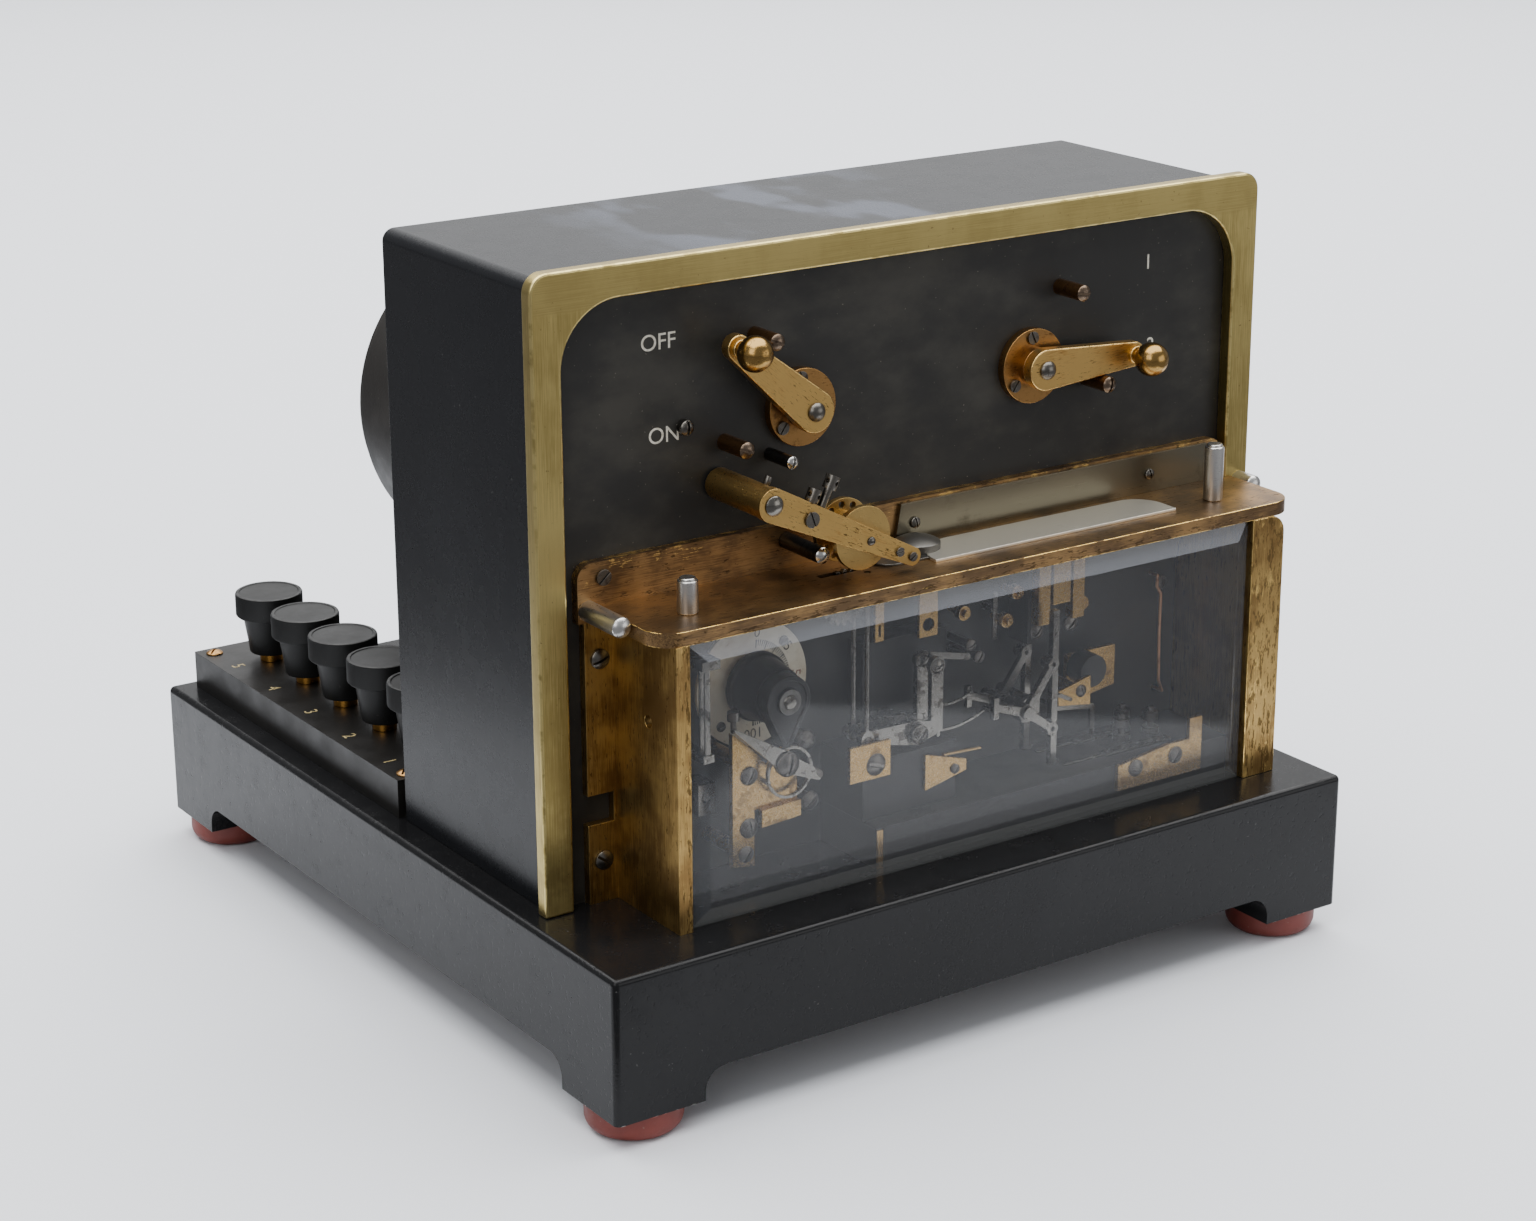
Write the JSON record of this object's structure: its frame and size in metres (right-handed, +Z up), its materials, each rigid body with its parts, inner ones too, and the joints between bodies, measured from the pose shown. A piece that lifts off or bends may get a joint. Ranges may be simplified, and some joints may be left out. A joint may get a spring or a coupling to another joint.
{
  "type": "automatic telegraph transmitter",
  "caption": "Desk telegraph transmitter with tape deck, star feed wheel, presser arm, switch levers, glazed contact mechanism, rear motor and terminals on a plinth.",
  "frame": {"origin": "middle of the bounding box footprint on the table under the rubber feet", "axes": "+X to the right seen from the front panel, +Y to the back where the motor is, +Z up"},
  "size_m": [0.285, 0.306, 0.2518],
  "materials": {
    "black_casting": "black lacquer over a casting",
    "black_sheet": "black stoved lacquer on sheet metal",
    "panel_black": "matt black engraved panel",
    "board": "dark stained board",
    "rubber": "red brown rubber",
    "bright_brass": "lacquered brass",
    "old_brass": "worn brown lacquered brass",
    "steel": "polished steel",
    "dark_steel": "tarnished screw steel",
    "nickel": "nickel silver plate",
    "glass": "bevelled plate glass",
    "ebonite": "black moulded insulation",
    "dial": "cream graduated dial",
    "copper_wire": "bare copper wire",
    "winding": "varnished cotton covered winding",
    "motor_bronze": "bronze black japan"
  },
  "bodies": {
    "frame": {"base_plinth": "black_casting", "bottom_board": "board", "rubber_feet": "rubber", "case_shell": "black_sheet", "brass_bezel": "bright_brass", "front_panel": "panel_black", "switch_bosses": "old_brass", "panel_screws": "dark_steel", "stop_pins": "old_brass", "presser_spindle": "steel", "tape_deck": "old_brass", "guide_pins": "steel", "tape_back_plate": "nickel", "tape_bed": "nickel", "tape_shoe": "steel", "left_post": "old_brass", "right_post": "old_brass", "front_glass": "glass", "speed_dial": "dial", "lever_bracket": "bright_brass", "mech_screws": "dark_steel", "contact_springs": "steel", "relay_block": "ebonite", "relay_posts": "bright_brass", "contact_bracket": "bright_brass", "contact_strips": "steel", "crank_block": "ebonite", "crank_plates": "bright_brass", "pivot_spindles": "steel", "mech_shelf": "ebonite", "connecting_wires": "copper_wire", "gear_plate": "bright_brass", "terminal_block": "ebonite", "terminal_studs": "bright_brass", "motor_yoke": "motor_bronze", "motor_ends": "motor_bronze", "field_coils": "winding", "motor_cradle": "black_casting", "brush_holders": "bright_brass"},
    "motor_switch": {"motor_switch_lever": "bright_brass"},
    "key_switch": {"key_switch_lever": "bright_brass"},
    "presser": {"presser_arm": "bright_brass", "presser_screws": "dark_steel"},
    "presser_roller": {"presser_wheel": "bright_brass"},
    "speed_setting": {"speed_knob": "ebonite"},
    "jockey": {"jockey_lever": "steel"},
    "rotor": {"armature": "steel"},
    "idler": {"idler_gear": "bright_brass"},
    "feed_star": {"star_wheel": "steel"},
    "crank_front": {"bell_crank_front": "steel"},
    "crank_rear": {"bell_crank_rear": "steel"},
    "rod_front": {"pecker_front": "steel"},
    "rod_rear": {"pecker_rear": "steel"},
    "rocker_a": {"rocker_front": "steel"},
    "rocker_b": {"rocker_rear": "steel"},
    "knob_1": {"terminal_knob_1": "ebonite"},
    "knob_2": {"terminal_knob_2": "ebonite"},
    "knob_3": {"terminal_knob_3": "ebonite"},
    "knob_4": {"terminal_knob_4": "ebonite"},
    "knob_5": {"terminal_knob_5": "ebonite"}
  },
  "joints": [
    {"name": "motor_switch_turn", "type": "hinge", "parent": "frame", "child": "motor_switch", "pos_m": [-0.041, -0.107, 0.1991], "axis": [0, -1, 0], "range_deg": [0, 38.5]},
    {"name": "key_switch_turn", "type": "hinge", "parent": "frame", "child": "key_switch", "pos_m": [0.0479, -0.107, 0.1991], "axis": [0, -1, 0], "range_deg": [0, 44]},
    {"name": "presser_lift", "type": "hinge", "parent": "frame", "child": "presser", "pos_m": [-0.0704, -0.118, 0.1797], "axis": [0, -1, 0], "range_deg": [0, 35]},
    {"name": "presser_wheel_turn", "type": "hinge", "parent": "presser", "child": "presser_roller", "pos_m": [-0.03529, -0.12, 0.16273], "axis": [0, 1, 0], "continuous": true},
    {"name": "speed_knob_turn", "type": "hinge", "parent": "frame", "child": "speed_setting", "pos_m": [-0.0608, -0.113, 0.115], "axis": [0, -1, 0], "range_deg": [0, 250]},
    {"name": "jockey_turn", "type": "hinge", "parent": "frame", "child": "jockey", "pos_m": [-0.0612, -0.122, 0.0948], "axis": [0, -1, 0], "range_deg": [0, 6], "stiffness_Nm_per_rad": 0.2},
    {"name": "armature_spin", "type": "hinge", "parent": "frame", "child": "rotor", "pos_m": [-0.0305, 0.047, 0.1615], "axis": [0, 1, 0], "continuous": true},
    {"name": "idler_spin", "type": "hinge", "parent": "frame", "child": "idler", "pos_m": [-0.00404, -0.077, 0.1435], "axis": [0, 1, 0], "continuous": true},
    {"name": "star_spin", "type": "hinge", "parent": "frame", "child": "feed_star", "pos_m": [-0.036, -0.093, 0.1418], "axis": [0, 1, 0], "continuous": true},
    {"name": "crank_front_rock", "type": "hinge", "parent": "frame", "child": "crank_front", "pos_m": [-0.0103, -0.119, 0.093], "axis": [0, 1, 0], "range_deg": [-1, 5], "stiffness_Nm_per_rad": 0.1},
    {"name": "crank_rear_rock", "type": "hinge", "parent": "frame", "child": "crank_rear", "pos_m": [-0.0103, -0.111, 0.093], "axis": [0, 1, 0], "range_deg": [-1, 5], "stiffness_Nm_per_rad": 0.1},
    {"name": "pecker_front_slide", "type": "slide", "parent": "frame", "child": "rod_front", "axis": [0, 0, 1], "range_m": [-0.0004, 0.0018]},
    {"name": "pecker_rear_slide", "type": "slide", "parent": "frame", "child": "rod_rear", "axis": [0, 0, 1], "range_m": [-0.0004, 0.0018]},
    {"name": "rocker_front_rock", "type": "hinge", "parent": "frame", "child": "rocker_a", "pos_m": [0.0332, -0.119, 0.0909], "axis": [0, 1, 0], "range_deg": [-1.5, 1.5]},
    {"name": "rocker_rear_rock", "type": "hinge", "parent": "frame", "child": "rocker_b", "pos_m": [0.0332, -0.106, 0.0909], "axis": [0, 1, 0], "range_deg": [-1.5, 1.5]},
    {"name": "terminal_1_turn", "type": "hinge", "parent": "frame", "child": "knob_1", "pos_m": [-0.1146, 0.01, 0.0815], "axis": [0, 0, 1], "continuous": true},
    {"name": "terminal_2_turn", "type": "hinge", "parent": "frame", "child": "knob_2", "pos_m": [-0.1146, 0.0385, 0.0815], "axis": [0, 0, 1], "continuous": true},
    {"name": "terminal_3_turn", "type": "hinge", "parent": "frame", "child": "knob_3", "pos_m": [-0.1146, 0.067, 0.0815], "axis": [0, 0, 1], "continuous": true},
    {"name": "terminal_4_turn", "type": "hinge", "parent": "frame", "child": "knob_4", "pos_m": [-0.1146, 0.0955, 0.0815], "axis": [0, 0, 1], "continuous": true},
    {"name": "terminal_5_turn", "type": "hinge", "parent": "frame", "child": "knob_5", "pos_m": [-0.1146, 0.124, 0.0815], "axis": [0, 0, 1], "continuous": true}
  ],
  "couplings": [
    {"joint": "idler_spin", "follows": "armature_spin", "ratio": -0.33333},
    {"joint": "star_spin", "follows": "armature_spin", "ratio": 0.11111},
    {"joint": "pecker_front_slide", "follows": "crank_front_rock", "m_per_rad": 0.0199},
    {"joint": "pecker_rear_slide", "follows": "crank_rear_rock", "m_per_rad": 0.0199}
  ]
}
